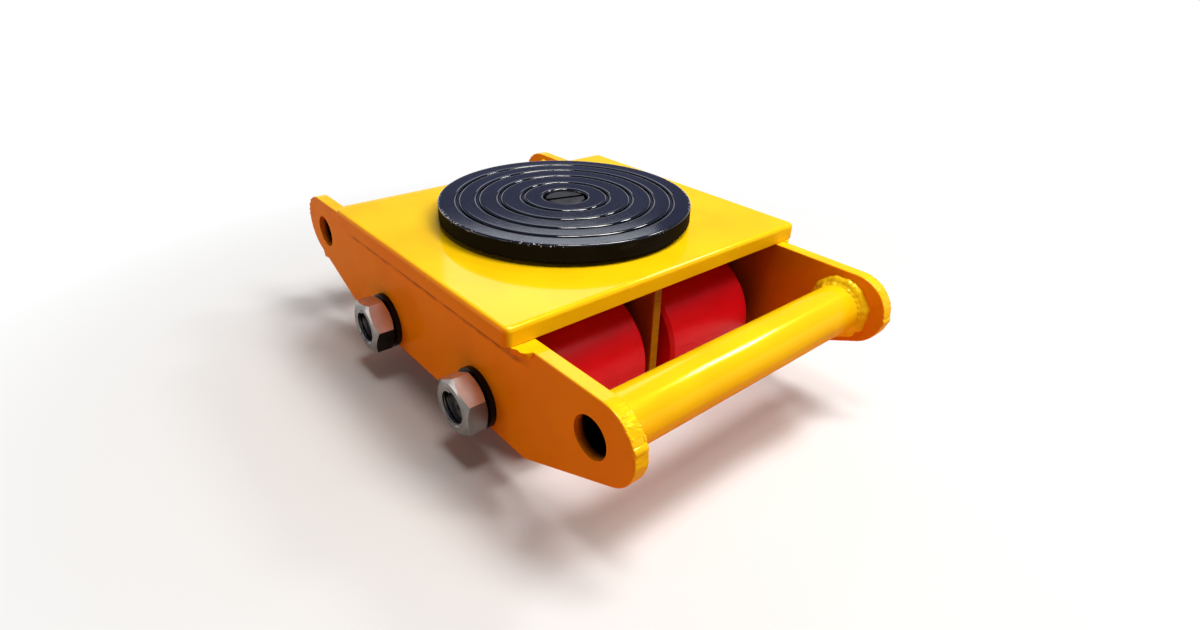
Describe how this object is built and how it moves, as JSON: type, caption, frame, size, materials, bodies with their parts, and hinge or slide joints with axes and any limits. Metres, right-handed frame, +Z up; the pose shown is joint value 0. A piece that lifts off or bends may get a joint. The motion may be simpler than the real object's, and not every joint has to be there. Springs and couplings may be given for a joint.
{
  "type": "machine skate",
  "caption": "Low welded steel trolley on wide rollers, with drilled ears and tie tubes at both ends and a grooved swivel disc on top that carries heavy machinery.",
  "frame": {"origin": "on the floor under the middle of the skate", "axes": "+X along the skate towards one tie tube, +Y along the axles, +Z up"},
  "size_m": [0.3336, 0.227, 0.1102],
  "materials": {
    "frame_paint": "glossy yellow enamel",
    "disc_paint": "glossy black enamel with chipped rim",
    "bronze": "machined, oiled",
    "dark_steel": "black oxide",
    "axle_steel": "turned, oiled",
    "plated_nut": "bright plating",
    "roller_red": "glossy red cast polyurethane",
    "bearing_steel": "ground and polished",
    "cage_steel": "pressed sheet",
    "seal_rubber": "matte",
    "spring_steel": "phosphated"
  },
  "bodies": {
    "frame": {"top_plate": "frame_paint", "left_side_plate": "frame_paint", "right_side_plate": "frame_paint", "centre_web": "frame_paint", "front_tie_tube": "frame_paint", "rear_tie_tube": "frame_paint", "plate_weld_beads": "frame_paint", "tube_weld_beads": "frame_paint", "thrust_washer": "bronze", "pivot_bush": "bronze", "pivot_screw": "dark_steel", "axle_washers": "dark_steel", "front_axle": "axle_steel", "rear_axle": "axle_steel", "outer_spacers": "axle_steel", "inner_spacers": "axle_steel", "axle_nuts": "plated_nut", "front_left_bearing_inner_rings": "bearing_steel", "front_left_bearing_sleeve": "cage_steel", "front_right_bearing_inner_rings": "bearing_steel", "front_right_bearing_sleeve": "cage_steel", "rear_left_bearing_inner_rings": "bearing_steel", "rear_left_bearing_sleeve": "cage_steel", "rear_right_bearing_inner_rings": "bearing_steel", "rear_right_bearing_sleeve": "cage_steel"},
    "turntable": {"swivel_disc": "disc_paint"},
    "front_left_wheel": {"front_left_roller": "roller_red", "front_left_bearing_outer_rings": "bearing_steel", "front_left_bearing_seals": "seal_rubber", "front_left_retaining_rings": "spring_steel"},
    "front_left_ball_set": {"front_left_bearing_balls": "bearing_steel", "front_left_bearing_cages": "cage_steel"},
    "front_right_wheel": {"front_right_roller": "roller_red", "front_right_bearing_outer_rings": "bearing_steel", "front_right_bearing_seals": "seal_rubber", "front_right_retaining_rings": "spring_steel"},
    "front_right_ball_set": {"front_right_bearing_balls": "bearing_steel", "front_right_bearing_cages": "cage_steel"},
    "rear_left_wheel": {"rear_left_roller": "roller_red", "rear_left_bearing_outer_rings": "bearing_steel", "rear_left_bearing_seals": "seal_rubber", "rear_left_retaining_rings": "spring_steel"},
    "rear_left_ball_set": {"rear_left_bearing_balls": "bearing_steel", "rear_left_bearing_cages": "cage_steel"},
    "rear_right_wheel": {"rear_right_roller": "roller_red", "rear_right_bearing_outer_rings": "bearing_steel", "rear_right_bearing_seals": "seal_rubber", "rear_right_retaining_rings": "spring_steel"},
    "rear_right_ball_set": {"rear_right_bearing_balls": "bearing_steel", "rear_right_bearing_cages": "cage_steel"}
  },
  "joints": [
    {"name": "disc_swivel", "type": "hinge", "parent": "frame", "child": "turntable", "pos_m": [0, 0, 0.0997], "axis": [0, 0, 1], "continuous": true},
    {"name": "front_left_wheel_spin", "type": "hinge", "parent": "frame", "child": "front_left_wheel", "pos_m": [0.0515, 0, 0.036], "axis": [0, 1, 0], "continuous": true},
    {"name": "front_left_ball_set_orbit", "type": "hinge", "parent": "frame", "child": "front_left_ball_set", "pos_m": [0.0515, 0, 0.036], "axis": [0, 1, 0], "continuous": true},
    {"name": "front_right_wheel_spin", "type": "hinge", "parent": "frame", "child": "front_right_wheel", "pos_m": [0.0515, 0, 0.036], "axis": [0, 1, 0], "continuous": true},
    {"name": "front_right_ball_set_orbit", "type": "hinge", "parent": "frame", "child": "front_right_ball_set", "pos_m": [0.0515, 0, 0.036], "axis": [0, 1, 0], "continuous": true},
    {"name": "rear_left_wheel_spin", "type": "hinge", "parent": "frame", "child": "rear_left_wheel", "pos_m": [-0.0515, 0, 0.036], "axis": [0, 1, 0], "continuous": true},
    {"name": "rear_left_ball_set_orbit", "type": "hinge", "parent": "frame", "child": "rear_left_ball_set", "pos_m": [-0.0515, 0, 0.036], "axis": [0, 1, 0], "continuous": true},
    {"name": "rear_right_wheel_spin", "type": "hinge", "parent": "frame", "child": "rear_right_wheel", "pos_m": [-0.0515, 0, 0.036], "axis": [0, 1, 0], "continuous": true},
    {"name": "rear_right_ball_set_orbit", "type": "hinge", "parent": "frame", "child": "rear_right_ball_set", "pos_m": [-0.0515, 0, 0.036], "axis": [0, 1, 0], "continuous": true}
  ],
  "couplings": [
    {"joint": "front_left_ball_set_orbit", "follows": "front_left_wheel_spin", "ratio": 0.61791},
    {"joint": "front_right_ball_set_orbit", "follows": "front_right_wheel_spin", "ratio": 0.61791},
    {"joint": "rear_left_ball_set_orbit", "follows": "rear_left_wheel_spin", "ratio": 0.61791},
    {"joint": "rear_right_ball_set_orbit", "follows": "rear_right_wheel_spin", "ratio": 0.61791}
  ]
}
